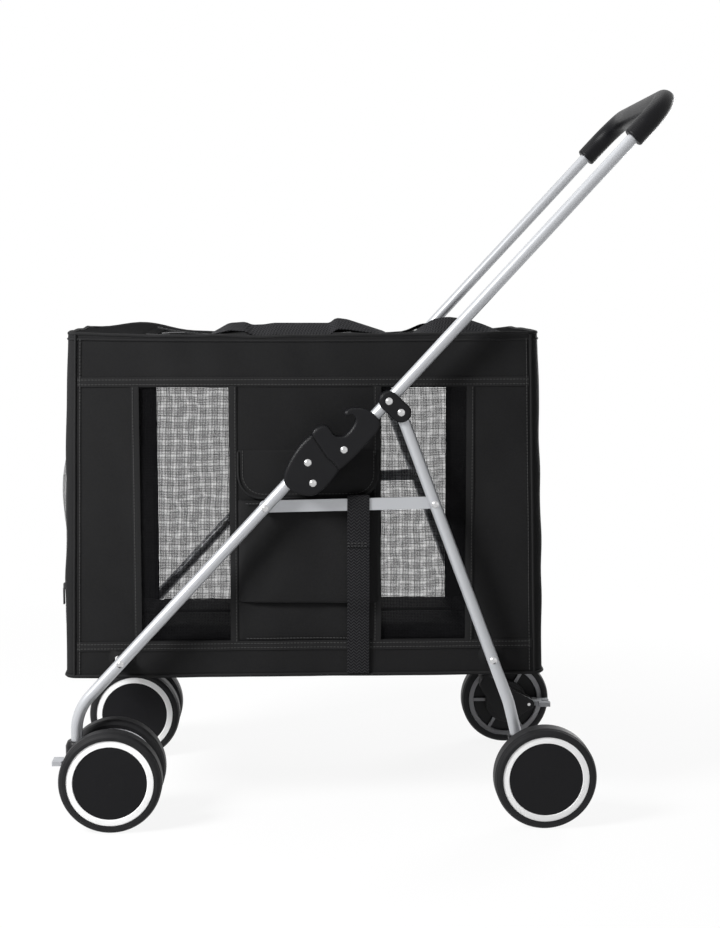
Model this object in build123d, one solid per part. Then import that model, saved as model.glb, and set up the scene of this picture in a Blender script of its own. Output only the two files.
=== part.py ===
from build123d import *
import os
from math import cos, sin, tan, radians, sqrt

os.makedirs("parts", exist_ok=True)

# Folding pet stroller, millimetres. +X is the handle end, +Y the pusher's right, +Z up.
# The wheels stand on Z = 0 and the origin is under the middle of the overall length.

# Frame tubes, seen from the side
tube_d = 16.0
tube_wall = 1.2
leg_angle = 47.07            # slope of the front legs and of the handle
frame_half = 175.0           # centre plane to the side tubes
leg_run = 450.8              # front leg, from its bend up to the height of the fold pin
leg_stub = 20.5              # straight end of the front leg below its bend
leg_bend_r = 70.0
axis_step = 24.0             # the front leg runs this far ahead of the handle tube
front_top_s = 36.0           # top end of the front leg, along the slope from the fold pin
handle_end_s = -9.0          # lower end of the handle tube
handle_top_s = 704.0         # cross bar of the handle
handle_bend_r = 50.0
grip_len = 75.0              # foam grip below the cross bar
grip_d = 29.0
rear_pivot_s = 150.9         # rear leg pivot on the handle bracket
rear_pivot_n = 22.5
rear_leg_angle = 69.5
rear_bend_r = 120.0
rear_foot_angle = 76.3
rear_foot_len = 58.0
foot_rise = 38.8             # end of the rear leg above the axle
cross_z = 225.0              # both cross tubes, under the cabin floor
link_front_s = -69.6         # side link, on the front leg
link_rear_d = 134.2          # side link, on the rear leg
link_h = 16.5
link_t = 3.0

# Clearances
run_gap = 0.05               # pins and axles that turn
seat_gap = 0.1               # pieces fixed together
air = 0.3
cheek_gap = 0.6              # tube to the cheeks beside it

# Lock, bracket and rivets
cheek_out = 4.0
cheek_in = 3.0
crease_r = 39.0              # round joint face between the lock halves, about the fold pin
lock_gap = 0.4
lock_edge = 2.2              # rounded rim of the lock shells
lock_rivet_s = 15.8
collar_pin_s = 61.7
collar_travel = 12.0
bracket_r = 13.5
leg_over = 9.0               # rear leg beyond its pivot
shank_r = 2.5
rivet_head_r = 5.0
rivet_head_h = 2.4

# Wheels
wheel_d = 140.0
ring_r = 59.0                # hub inside the tyre
ring_w = 8.0                 # light ring round the cap
hub_recess = 6.0
caster_x = -392.3
caster_trail = 48.7
caster_wheel_w = 29.0
caster_gap = 17.5            # caster centre to the inner faces of its wheels
caster_axle_r = 4.0
caster_top = 28.0            # foot of the socket above the axle
socket_h = 20.0
spigot_h = 24.0             # socket peg inside the front leg
stem_r = 5.0
stem_h = 11.0
lever_reach = 33.3
lever_back = 12.0            # swivel lock pin ahead of the stem
lever_pin_r = 1.5
axle_back = 32.1             # rear axle behind the end of the rear leg
rear_axle_r = 5.0
rear_wheel_w = 32.0
wheel_out = 21.0             # rear tube axis to the inner face of the wheel
drum_r = 33.0
brake_x = 34.0               # brake lever pin behind the axle
pedal_reach = 68.0
lever_w = 14.0

# Cabin
link_room = 13.8             # cabin wall to the side link
strap_clear = 2.6            # strap to the side link
cloth_t = 2.5
bag_h = 477.0
skirt = 28.0                 # wall below the cross tubes
front_over = 73.0            # foot of the front wall ahead of the front cross tube
front_lean = 20.0
rear_over = 71.7
rear_lean = 13.0
win_rise = 52.0
top_band = 74.0
front_panel_w = 98.4         # wall ahead of the front window
front_win_w = 125.6
rear_panel_w = 105.9
rear_win_w = 120.7
net_t = 1.0
net_pitch = 24.0
net_bar = 2.4
board_t = 5.0
pad_h = 24.0
pocket_in = 10.0
lower_h = 55.0
pocket_h = 141.0
flap_gap = 2.5
flap_h = 66.5
strap_w = 30.5
strap_t = 1.6
strap_in = 43.4              # outer edge of the pocket to the far edge of the strap
top_door_in = 84.0
top_door_half = 104.0
front_door_low = 65.0
front_door_h = 298.0
front_door_half = 100.0
door_gap = 0.6
door_t = 2.0
loop_in = 167.0
loop_len = 265.0
loop_w = 25.0
loop_rise = 16.0
loop_ramp = 40.0

tube_r = tube_d / 2
wheel_r = wheel_d / 2
caster_wheel_x = caster_x + caster_trail
cheek_far = frame_half + tube_r + cheek_gap
cheek_near = frame_half - tube_r - cheek_gap
lock_far = cheek_far + cheek_out
lock_near = cheek_near - cheek_in
link_far = lock_near - cheek_gap
link_near = link_far - link_t
bag_half = link_near - link_room
pocket_bulge = link_room - strap_t - strap_clear - 2 * air
ca = cos(radians(leg_angle))
sa = sin(radians(leg_angle))
BASE = (Align.CENTER, Align.CENTER, Align.MIN)

# The front leg stands in its caster socket, and the fold pin is up its slope.
socket_foot = wheel_r + caster_top
socket_top = socket_foot + socket_h
leg_foot_z = socket_foot + stem_h + 2
corner_z = leg_foot_z + leg_stub + leg_bend_r * tan(radians(90 - leg_angle) / 2)
fold_x = caster_x + leg_run * ca + axis_step * sa
fold_z = corner_z + leg_run * sa - axis_step * ca


def on_leg(s, n):
    """Side view point at s up the slope from the fold pin and n below the handle axis."""
    return fold_x + s * ca + n * sa, fold_z + s * sa - n * ca


rear_x, rear_z = on_leg(rear_pivot_s, rear_pivot_n)
cr = cos(radians(rear_leg_angle))
sr = sin(radians(rear_leg_angle))


def on_rear(d):
    """Side view point at d down the rear leg from its pivot."""
    return rear_x + d * cr, rear_z - d * sr


# The rear leg ends above its axle, and the cabin hangs on both cross tubes.
cf = cos(radians(rear_foot_angle))
sf = sin(radians(rear_foot_angle))
foot_z = wheel_r + foot_rise
bend_z = foot_z + rear_foot_len * sf
bend_x = on_rear((rear_z - bend_z) / sr)[0]
foot_x = bend_x + rear_foot_len * cf
rear_axle_x = foot_x + axle_back
rear_wheel_half = frame_half + wheel_out
front_cross_x = on_leg((cross_z - fold_z - axis_step * ca) / sa, -axis_step)[0]
rear_cross_x = on_rear((rear_z - cross_z) / sr)[0]
bag_foot = cross_z - skirt
bag_top = bag_foot + bag_h
front_foot_x = front_cross_x - front_over
front_top_x = front_foot_x + front_lean
rear_foot_x = rear_cross_x + rear_over
rear_top_x = rear_foot_x - rear_lean
win_low = bag_foot + win_rise
win_high = bag_top - top_band
front_win = (front_foot_x + front_panel_w, front_foot_x + front_panel_w + front_win_w)
rear_win = (rear_foot_x - rear_panel_w - rear_win_w, rear_foot_x - rear_panel_w)
pocket_x = (front_win[1] + pocket_in, rear_win[0] - 2)
pocket_low = win_low + lower_h
pocket_high = pocket_low + pocket_h
flap_low = pocket_high + flap_gap
flap_high = flap_low + flap_h
strap_x = (pocket_x[1] - strap_in, pocket_x[1] - strap_in + strap_w)
strap_foot = bag_foot + 5
top_door_x = (front_top_x + top_door_in, rear_top_x - top_door_in)
front_door_z = (bag_foot + front_door_low, bag_foot + front_door_low + front_door_h)
loop_x = (front_top_x + loop_in, front_top_x + loop_in + loop_len)
loop_y = top_door_half + loop_w / 2 + 6.5

# The layout above is moved along X so that the origin is under the middle of the length.
front_reach = caster_x - lever_reach
rear_reach = on_leg(handle_top_s, 0)[0] + grip_d / 2
centre_shift = -(front_reach + rear_reach) / 2

# Local Z is world Y in each of these frames.
leg = Plane(origin=(fold_x, 0, fold_z), x_dir=(ca, 0, sa), z_dir=(0, 1, 0)).location
side = Plane(origin=(0, 0, 0), x_dir=(1, 0, 0), z_dir=(0, 1, 0)).location


def save(name, *shapes):
    solids = []
    for shape in shapes:
        solids.extend(shape.solids())
    placed = [Pos(centre_shift, 0, 0) * s for s in solids]
    export_step(placed[0] if len(placed) == 1 else Compound(placed), f"parts/{name}.step")


def other_side(shape):
    return mirror(shape, about=Plane.XZ)


def save_pair(name, shape):
    """The right piece and its mirror image on the left."""
    save(name + "_right", shape)
    save(name + "_left", other_side(shape))


def rod(r, low, high):
    return Pos(0, 0, low) * Cylinder(r, high - low, align=BASE)


def plate(points, low, high, radius=0.0):
    """A flat outline in side view, (x, z) points, from world Y low to high."""
    flat = make_face(Polyline(*[(x, -z) for x, z in points], close=True))
    if radius:
        flat = fillet(flat.vertices(), radius)
    return side * Pos(0, 0, low) * extrude(flat, high - low)


def pin_at(x, z, r, low, high):
    return side * Pos(x, -z, 0) * rod(r, low, high)


def tube(path, outer, inner):
    start = Plane(origin=path @ 0, z_dir=path % 0)
    return sweep(start * (Circle(outer / 2) - Circle(inner / 2)), path=path)


def rivet(x, z, low, face):
    """A round-headed rivet whose head sits on the outer face."""
    dome_r = (rivet_head_r**2 + rivet_head_h**2) / (2 * rivet_head_h)
    dome = Pos(0, 0, face + rivet_head_h - dome_r) * Sphere(dome_r)
    head = dome & rod(2 * rivet_head_r, face, face + 2 * rivet_head_h)
    return side * Pos(x, -z, 0) * (rod(shank_r, low, face) + head)


def hole(x, z, r):
    return pin_at(x, z, r, frame_half - 40, frame_half + 40)


# Front legs: straight down the slope, then bent upright into the caster sockets.
lock_rivet = on_leg(lock_rivet_s, -axis_step)
link_front = on_leg(link_front_s, -axis_step)
link_rear = on_rear(link_rear_d)
top_x, top_z = on_leg(front_top_s, -axis_step)
path = FilletPolyline(
    (top_x, frame_half, top_z),
    (caster_x, frame_half, corner_z),
    (caster_x, frame_half, leg_foot_z),
    radius=leg_bend_r,
)
front_leg = tube(path, tube_d, tube_d - 2 * tube_wall)
for x, z in (lock_rivet, link_front, (front_cross_x, cross_z)):
    front_leg -= hole(x, z, shank_r + seat_gap)
save_pair("front_leg", front_leg)

# Cross tubes between the legs, held by one rivet at each end.
cross_half = frame_half - tube_r - seat_gap


def cross_tube(x):
    body = pin_at(x, cross_z, tube_r, -cross_half, cross_half)
    body -= pin_at(x, cross_z, tube_r - tube_wall, -cross_half + 12, cross_half - 12)
    for end in (-1, 1):
        low, high = sorted((end * (cross_half - 10), end * (cross_half + 1)))
        body -= pin_at(x, cross_z, shank_r + seat_gap, low, high)
    return body


save("front_cross_tube", cross_tube(front_cross_x))
save("rear_cross_tube", cross_tube(rear_cross_x))

# Lower half of the fold lock: a moulded shell on the front leg whose two cheeks hold the pin.
crease_low = crease_r - lock_gap / 2
crease_high = crease_r + lock_gap / 2


lock_unit = crease_r / 39       # the outlines below are drawn for a 39 mm crease


def on_crease(r, n):
    return sqrt(r * r - n * n), n


def lock_shell(r, rest):
    """A moulded half: the crease face, round and then straight, and a smooth rounded outline."""
    high = 14 * lock_unit
    low = -8 * lock_unit
    top, *points = [(s * lock_unit, n * lock_unit) for s, n in rest]
    arc = ThreePointArc(on_crease(r, high), on_crease(r, 3 * lock_unit), on_crease(r, low))
    crease = Line(on_crease(r, low), top)
    outline = Spline(top, *points, on_crease(r, high))
    shell = extrude(make_face([arc, crease, outline]), lock_far - lock_near)
    rim = shell.faces().sort_by(Axis.Z)[-1].edges().sort_by(SortBy.LENGTH)[-1]
    shell = fillet(rim, lock_edge)
    return leg * Pos(0, 0, lock_near) * shell


lower = lock_shell(
    crease_low,
    [(46.8, -45.5), (27, -47), (5.5, -44), (-11.5, -39), (-24.6, -30),
     (-27, -16.5), (-22.7, -2.8), (-13.7, 10.3), (-2.7, 15)],
)
reach = 2 * crease_r
lower -= leg * Pos(-reach, -axis_step, frame_half) * Rot(0, 90, 0) * rod(tube_r + seat_gap, 0, 3 * reach)
slot_n = tube_r + 3.2 - axis_step
slot = Box(3 * reach, reach, cheek_far - cheek_near, align=(Align.CENTER, Align.MIN, Align.CENTER))
lower -= leg * Pos(0, slot_n, frame_half) * slot
lower -= hole(*lock_rivet, shank_r + seat_gap)
lower -= hole(fold_x, fold_z, shank_r + seat_gap)
save_pair("lock_lower", lower)

# Sliding lock collar on the handle tube, with a hooked finger pull.
collar = lock_shell(
    crease_high,
    [(47.3, -45.5), (54, -47.6), (61, -46), (68.4, -40), (69, -31), (67.5, -22),
     (73, -14), (84, -11.5), (97, -13.5), (104, -19), (103, -25), (97.5, -28), (97.5, -32.5), (103, -33.5),
     (112, -28.5), (119, -20), (123.5, -10), (124, 0), (122.5, 10), (114, 15.5), (100, 17), (79, 17.2),
     (55, 16.4)],
)
collar -= leg * Pos(-reach, 0, frame_half) * Rot(0, 90, 0) * rod(tube_r + air, 0, 4 * reach)
collar_pin = on_leg(collar_pin_s, 0)
collar -= hole(*collar_pin, shank_r + seat_gap)
save_pair("lock_collar", collar)
save_pair("collar_rivet", rivet(*collar_pin, lock_near, lock_far))

# Handle: one tube bent to a U, with a foam grip round the top.
bracket_rivet = on_leg(rear_pivot_s, 0)


def on_handle(s, y):
    x, z = on_leg(s, 0)
    return x, y, z


path = FilletPolyline(
    on_handle(handle_end_s, frame_half),
    on_handle(handle_top_s, frame_half),
    on_handle(handle_top_s, -frame_half),
    on_handle(handle_end_s, -frame_half),
    radius=handle_bend_r,
)
handle = tube(path, tube_d, tube_d - 2 * tube_wall)
slot_flat = SlotCenterToCenter(collar_travel + 1, 2 * (shank_r + air))
slot_at = collar_pin_s + collar_travel / 2
for end in (-1, 1):
    slot = Pos(slot_at, 0, end * frame_half - 20) * extrude(slot_flat, 40)
    handle -= leg * slot
    low, high = sorted((end * (frame_half - 20), end * (frame_half + 20)))
    handle -= pin_at(*bracket_rivet, shank_r + seat_gap, low, high)
    handle -= pin_at(fold_x, fold_z, shank_r + run_gap, low, high)
save("handle_tube", handle)
path = FilletPolyline(
    on_handle(handle_top_s - grip_len, frame_half),
    on_handle(handle_top_s, frame_half),
    on_handle(handle_top_s, -frame_half),
    on_handle(handle_top_s - grip_len, -frame_half),
    radius=handle_bend_r,
)
grip = tube(path, grip_d, tube_d + 2 * seat_gap)
rims = [f.outer_wire().edges()[0] for f in grip.faces().filter_by(GeomType.PLANE)]
grip = fillet(rims, 3)
save("handle_grip", grip)

# Brackets that clamp the handle tube and carry the rear leg pivots.
flat = Pos(rear_pivot_s, rear_pivot_n / 2) * Rot(0, 0, 90) * SlotCenterToCenter(rear_pivot_n, 2 * bracket_r)
bracket = extrude(flat, lock_far - lock_near)
bracket = chamfer(bracket.faces().sort_by(Axis.Z)[-1].edges(), 1.5)
bracket = leg * Pos(0, 0, lock_near) * bracket
reach = 3 * bracket_r
bracket -= leg * Pos(rear_pivot_s - reach, 0, frame_half) * Rot(0, 90, 0) * rod(tube_r + seat_gap, 0, 2 * reach)
gap = Box(2 * reach, 2 * reach, cheek_far - cheek_near, align=(Align.CENTER, Align.MIN, Align.CENTER))
bracket -= leg * Pos(rear_pivot_s, tube_r - 1, frame_half) * gap
bracket -= hole(*bracket_rivet, shank_r + seat_gap)
bracket -= hole(rear_x, rear_z, shank_r + seat_gap)
save("leg_brackets", bracket, other_side(bracket))
pins = [rivet(*bracket_rivet, lock_near, lock_far), rivet(rear_x, rear_z, lock_near, lock_far)]
save("handle_rivets", *pins, *[other_side(p) for p in pins])

# Rivets of the front frame: lock, fold pin, link pivot and cross tube.
link_boss = pin_at(*link_front, 6.0, link_far + air, frame_half - tube_r)
outer = frame_half + tube_r
pins = [
    rivet(*lock_rivet, lock_near, lock_far),
    rivet(fold_x, fold_z, lock_near, lock_far),
    rivet(*link_front, link_far + air, outer) + link_boss,
    rivet(front_cross_x, cross_z, cross_half - 9, outer),
]
save("front_rivets", *pins, *[other_side(p) for p in pins])

# Rear legs: hung on the brackets, bent a little steeper near the wheels.
start_x, start_z = on_rear(-leg_over)
path = FilletPolyline(
    (start_x, frame_half, start_z),
    (bend_x, frame_half, bend_z),
    (foot_x, frame_half, foot_z),
    radius=rear_bend_r,
)
rear_leg = tube(path, tube_d, tube_d - 2 * tube_wall)
rear_leg -= hole(rear_x, rear_z, shank_r + run_gap)
rear_leg -= hole(*link_rear, shank_r + seat_gap)
rear_leg -= hole(rear_cross_x, cross_z, shank_r + seat_gap)
save_pair("rear_leg", rear_leg)
spacer = pin_at(*link_rear, 5.5, link_far + seat_gap, frame_half - tube_r)
tail = pin_at(*link_rear, 4.5, link_near - seat_gap - 1.4, link_near - seat_gap)
link_pin = rivet(*link_rear, link_near - seat_gap - 1.0, outer) + tail + spacer
pins = [link_pin, rivet(rear_cross_x, cross_z, cross_half - 9, outer)]
save("rear_rivets", *pins, *[other_side(p) for p in pins])

# Side links: flat bars inside the legs. The front eye is free of its pin so that the frame folds.
lx0, lz0 = link_front
lx1, lz1 = link_rear
link_len = sqrt((lx1 - lx0) ** 2 + (lz1 - lz0) ** 2)
link_flat = SlotCenterToCenter(link_len, link_h)
tilt = Plane(origin=((lx0 + lx1) / 2, 0, (lz0 + lz1) / 2), x_dir=(lx1 - lx0, 0, lz1 - lz0), z_dir=(0, 1, 0))
link = tilt.location * Pos(0, 0, link_near) * extrude(link_flat, link_t)
link -= hole(*link_rear, shank_r + run_gap)
save_pair("side_link", link)

# Brake housings: sleeve the rear leg feet, carry the axle stubs and the brake lever ears.
hub_near = frame_half - 9
hub_far = frame_half + 13
drum_far = rear_wheel_half - 0.8
shape = Pos(foot_x, 6 - foot_z) * Circle(tube_r + 5) + Pos(rear_axle_x, -wheel_r) * Circle(drum_r - 9)
shape += Pos(rear_axle_x + brake_x, -wheel_r) * Circle(8.5)
house = side * Pos(0, 0, hub_near - 3) * extrude(make_hull(shape.edges()), hub_far - hub_near + 3)
sleeve = Plane(origin=(foot_x, frame_half, foot_z), z_dir=(-cf, 0, sf)).location
house += sleeve * rod(tube_r + 4, -6, 1.5 * tube_r)
house += pin_at(rear_axle_x, wheel_r, drum_r, hub_far - 6, drum_far)
house -= sleeve * rod(tube_r + seat_gap, -0.5, 60)
slot = Pos(rear_axle_x + brake_x + 8, -wheel_r, frame_half + 2) * Box(40, 40, lever_w + 1)
house -= side * slot
house -= hole(rear_axle_x, wheel_r, rear_axle_r + seat_gap)
house -= hole(rear_axle_x + brake_x, wheel_r, shank_r + seat_gap)
save_pair("brake_housing", house)
stub = pin_at(rear_axle_x, wheel_r, rear_axle_r, hub_near, rear_wheel_half + rear_wheel_w - 9)
brake_pin = pin_at(rear_axle_x + brake_x, wheel_r, shank_r, hub_near - 2, hub_far)
save("rear_axles", stub, brake_pin, other_side(stub), other_side(brake_pin))

# Brake levers: a hub between the ears and a forked foot plate.
lever = pin_at(rear_axle_x + brake_x, wheel_r, 7.5, frame_half + 2 - lever_w / 2, frame_half + 2 + lever_w / 2)
arm = Box(pedal_reach - brake_x, lever_w, 7, align=(Align.MIN, Align.CENTER, Align.CENTER))
foot = Box(18, 30, 7, align=(Align.MAX, Align.CENTER, Align.CENTER))
notch = Box(12, 9, 20, align=(Align.MAX, Align.CENTER, Align.CENTER))
lever += Pos(rear_axle_x + brake_x, frame_half + 2, wheel_r) * arm
lever += Pos(rear_axle_x + pedal_reach, frame_half + 2, wheel_r) * foot
lever -= Pos(rear_axle_x + pedal_reach, frame_half + 2, wheel_r) * notch
lever -= hole(rear_axle_x + brake_x, wheel_r, shank_r + run_gap)
save_pair("brake_lever", lever)


def turned(points, x, z):
    """A ring turned about a Y axis at (x, z) from (radius, y) points."""
    flat = make_face(Polyline(*points, close=True))
    return Pos(x, 0, z) * revolve(flat, Axis.Y)


def tyre(x, low, width):
    high = low + width
    r = wheel_r
    ledge = ring_r + seat_gap
    return turned(
        [(ledge, low), (r - 6, low), (r - 2, low + 2), (r, low + 6), (r, high - 6),
         (r - 2, high - 2), (r - 6, high), (ledge, high)],
        x, wheel_r,
    )


def hub(x, low, width, bore, boss, flip=False):
    """A disc with a ring and a cap on its outer face, and a recess round its boss inside."""
    high = low + width
    floor = low + 1 + hub_recess
    cap_r = ring_r - ring_w
    points = [
        (bore, low + 1), (boss, low + 1), (boss, floor), (cap_r, floor), (cap_r + 1, low + 1),
        (ring_r, low + 1), (ring_r, high - 1), (cap_r, high - 0.4), (cap_r - 1, high - 1.4),
        (20, high + 0.6), (0, high + 0.8), (0, high - 8), (bore, high - 8),
    ]
    if flip:
        points = [(r, low + high - y) for r, y in points]
    return turned(points, x, wheel_r)


# Rear wheels: tyre, and a hub with ribs on its inner side.
rear_low = rear_wheel_half
save_pair("rear_tyre", tyre(rear_axle_x, rear_low, rear_wheel_w))
boss_r = 3 * rear_axle_r
rear_hub = hub(rear_axle_x, rear_low, rear_wheel_w, rear_axle_r + run_gap, boss_r)
rib = side * Pos(rear_axle_x, -wheel_r, 0)
for n in range(6):
    bar = Box(ring_r - boss_r - 2, 5, hub_recess, align=(Align.MIN, Align.CENTER, Align.MIN))
    rear_hub += rib * Rot(0, 0, 60 * n) * Pos(boss_r - 2, 0, rear_low + 2) * bar
save_pair("rear_hub", rear_hub)

# Front casters: socket on the leg, swivelling fork, one axle, two wheels.
fork_r = caster_gap - 2
spigot_r = tube_r - tube_wall - seat_gap
spigot_top = leg_foot_z + spigot_h
profile = [(0, spigot_top), (spigot_r - 1, spigot_top), (spigot_r, spigot_top - 1), (spigot_r, leg_foot_z - 0.5),
           (tube_r + seat_gap, leg_foot_z - 0.5), (tube_r + seat_gap, socket_top), (tube_r + 4, socket_top),
           (tube_r + 5, socket_top - 1), (fork_r, socket_foot + 13), (fork_r, socket_foot),
           (stem_r + run_gap, socket_foot), (stem_r + run_gap, leg_foot_z - 2), (0, leg_foot_z - 2)]
flat = make_face(Plane.XZ * Polyline(*profile, close=True))
save_pair("caster_socket", Pos(caster_x, frame_half, 0) * revolve(flat, Axis.Z))
fork_top = socket_foot - air
fork_z = socket_foot - 14
fork_w = 2 * (caster_gap - 5.5)
shape = Pos(caster_x, 2 - fork_z) * Circle(fork_r) + Pos(caster_wheel_x, -wheel_r) * Circle(15)
fork = side * Pos(0, 0, frame_half - fork_w / 2) * extrude(make_hull(shape.edges()), fork_w)
fork += Pos(caster_x, frame_half, fork_z) * Cylinder(fork_r, fork_top - fork_z, align=BASE)
fork += Pos(caster_x, frame_half, fork_z) * Cylinder(stem_r, leg_foot_z - 2.5 - fork_z, align=BASE)
lever_x = caster_x - lever_back
lever_z = socket_foot - 10
slot = Box(60, lever_w + 1, 17, align=(Align.MAX, Align.CENTER, Align.CENTER))
fork -= Pos(lever_x + 5, frame_half, lever_z) * slot
fork -= hole(caster_wheel_x, wheel_r, caster_axle_r + seat_gap)
fork -= hole(lever_x, lever_z, lever_pin_r + seat_gap)
save_pair("caster_fork", fork)
axle_half = caster_gap + caster_wheel_w - 10.5
axle = pin_at(caster_wheel_x, wheel_r, caster_axle_r, frame_half - axle_half, frame_half + axle_half)
lever_pin = pin_at(lever_x, lever_z, lever_pin_r, frame_half - fork_w / 2 + 0.5, frame_half + fork_w / 2 - 0.5)
save_pair("caster_axle", axle + lever_pin)
lock_lever = pin_at(lever_x, lever_z, 3 * lever_pin_r, frame_half - lever_w / 2, frame_half + lever_w / 2)
reach = lever_reach - lever_back
lock_lever += Pos(lever_x, frame_half, lever_z) * Box(reach, lever_w, 6, align=(Align.MAX, Align.CENTER, Align.CENTER))
tip = Box(13, lever_w + 10, 6, align=(Align.MIN, Align.CENTER, Align.CENTER))
lock_lever += Pos(caster_x - lever_reach, frame_half, lever_z) * tip
lock_lever -= hole(lever_x, lever_z, lever_pin_r + run_gap)
save_pair("swivel_lock_lever", lock_lever)
for name, low, flip in (
    ("outer", frame_half + caster_gap, False),
    ("inner", frame_half - caster_gap - caster_wheel_w, True),
):
    save_pair(f"caster_tyre_{name}", tyre(caster_wheel_x, low, caster_wheel_w))
    round_hub = hub(caster_wheel_x, low, caster_wheel_w, caster_axle_r + run_gap, 3 * caster_axle_r, flip)
    save_pair(f"caster_hub_{name}", round_hub)

# Cabin floor board, lying on both cross tubes, and its crowned pad.
board_low = cross_z + tube_r + air
board_high = board_low + board_t


def wall_x(z, foot, top):
    return foot + (top - foot) * (z - bag_foot) / (bag_top - bag_foot)


inner_half = bag_half - cloth_t
floor_front = wall_x(board_low, front_foot_x, front_top_x) + 12
floor_rear = wall_x(board_low, rear_foot_x, rear_top_x) - 12
floor_mid = (floor_front + floor_rear) / 2
floor_len = floor_rear - floor_front
board = Pos(floor_mid, 0, board_low) * Box(floor_len, 2 * inner_half - 6, board_t, align=BASE)
save("floor_board", board)
rings = []
for inset, z in ((9, 0), (3, pad_h * 0.3), (4.5, pad_h * 0.6), (20, pad_h * 0.88), (70, pad_h)):
    ring = RectangleRounded(floor_len - 2 * inset, 2 * inner_half - 8 - 2 * inset, 24)
    rings.append(Pos(floor_mid, 0, board_high + air + z) * ring)
save("floor_pad", loft(rings, ruled=True))

# Side walls with two window openings each, notched over the cross tubes.
outline = [(front_foot_x, bag_foot), (rear_foot_x, bag_foot), (rear_top_x, bag_top), (front_top_x, bag_top)]
wall = plate(outline, inner_half, bag_half, 14)
for low_x, high_x in (front_win, rear_win):
    opening = [(low_x, win_low), (high_x, win_low), (high_x, win_high), (low_x, win_high)]
    wall -= plate(opening, inner_half - 1, bag_half + 1, 6)
wall -= pin_at(front_cross_x, cross_z, tube_r + 2 * air, inner_half - 1, bag_half + 1)
wall -= pin_at(rear_cross_x, cross_z, tube_r + 2 * air, inner_half - 1, bag_half + 1)
notch = [(rear_cross_x - tube_r - 2 * air, bag_foot - 1), (rear_cross_x + tube_r + 2 * air, bag_foot - 1),
         (rear_cross_x + tube_r + 2 * air, cross_z), (rear_cross_x - tube_r - 2 * air, cross_z)]
wall -= plate(notch, inner_half - 1, bag_half + 1)
save_pair("side_panel", wall)


def net(width, height, border):
    """A flat sheet of square gaps inside a plain border, centred, as one holed face."""
    across = int((width - 2 * border) / net_pitch)
    up = int((height - 2 * border) / net_pitch)
    step_x = (width - 2 * border) / across
    step_y = (height - 2 * border) / up
    gaps = []
    for i in range(across):
        for j in range(up):
            x = -width / 2 + border + (i + 0.5) * step_x
            y = -height / 2 + border + (j + 0.5) * step_y
            gaps.append(Pos(x, y) * Rectangle(step_x - net_bar, step_y - net_bar).wire())
    return Face(Rectangle(width, height).wire(), gaps)


overlap = 6.0
net_high = win_high - win_low + 2 * overlap
nets = []
for low_x, high_x in (front_win, rear_win):
    sheet = extrude(net(high_x - low_x + 2 * overlap, net_high, overlap), net_t)
    place = Pos((low_x + high_x) / 2, -(win_low + win_high) / 2, inner_half - air - net_t)
    nets.append(side * place * sheet)
save("window_nets", *nets, *[other_side(n) for n in nets])

# Front wall with a door opening, its door, and the plain rear wall.
wall_half = inner_half - air
front_wall = plate(
    [(front_foot_x, bag_foot), (front_foot_x + cloth_t, bag_foot),
     (front_top_x + cloth_t, bag_top), (front_top_x, bag_top)],
    -wall_half, wall_half,
)
low_z, high_z = front_door_z
mid_z = (low_z + high_z) / 2
front_wall -= Pos(front_foot_x, 0, mid_z) * Box(200, 2 * front_door_half, high_z - low_z)
save("front_panel", front_wall)
slope_x = front_top_x - front_foot_x
slope_z = bag_top - bag_foot
slope = sqrt(slope_x ** 2 + slope_z ** 2)
front = Plane(
    origin=(wall_x(mid_z, front_foot_x, front_top_x), 0, mid_z),
    x_dir=(0, -1, 0),
    z_dir=(-slope_z / slope, 0, slope_x / slope),
).location
sheet = net(2 * (front_door_half - door_gap), high_z - low_z - 2 * door_gap, 16)
save("front_door", front * Pos(0, 0, -door_t) * extrude(sheet, door_t))
rear_wall = plate(
    [(rear_foot_x - cloth_t, bag_foot), (rear_foot_x, bag_foot),
     (rear_top_x, bag_top), (rear_top_x - cloth_t, bag_top)],
    -wall_half, wall_half,
)
save("rear_panel", rear_wall)

# Roof with a mesh door, free to come down inside the walls, and two webbing carry loops.
roof_front = front_top_x + cloth_t + air
roof_rear = rear_top_x - cloth_t - air
roof_low = bag_top - cloth_t
roof_half = wall_half - net_t - air
roof = Box(roof_rear - roof_front, 2 * roof_half, cloth_t, align=BASE)
roof = Pos((roof_front + roof_rear) / 2, 0, roof_low) * roof
low_x, high_x = top_door_x
door_mid = (low_x + high_x) / 2
roof -= Pos(door_mid, 0, bag_top) * Box(high_x - low_x, 2 * top_door_half, 40)
save("roof_panel", roof)
sheet = net(high_x - low_x - 2 * door_gap, 2 * (top_door_half - door_gap), 16)
save("top_door", Pos(door_mid, 0, bag_top - door_t) * extrude(sheet, door_t))
a, b = loop_x
rise = bag_top + loop_rise
base = bag_top + air
end = loop_ramp * 0.35
band = [(a, base), (a + end, base), (a + loop_ramp, rise - strap_t), (b - loop_ramp, rise - strap_t),
        (b - end, base), (b, base), (b, base + strap_t), (b - end + 1, base + strap_t),
        (b - loop_ramp + 1, rise), (a + loop_ramp - 1, rise),
        (a + end - 1, base + strap_t), (a, base + strap_t)]
loop = plate(band, loop_y - loop_w / 2, loop_y + loop_w / 2)
save("carry_handles", loop, other_side(loop))

# Side pockets with their flaps, and the webbing that hangs each wall from the side link.
low_x, high_x = pocket_x
face_y = bag_half + air


def pad_plate(z0, z1, grow, inset):
    mid = side * Pos((low_x + high_x) / 2, -(z0 + z1) / 2, face_y)
    w = high_x - low_x
    return mid * loft(
        [RectangleRounded(w, z1 - z0, 12), Pos(0, 0, grow) * RectangleRounded(w - 2 * inset, z1 - z0 - 2 * inset, 10)],
        ruled=True,
    )


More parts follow.
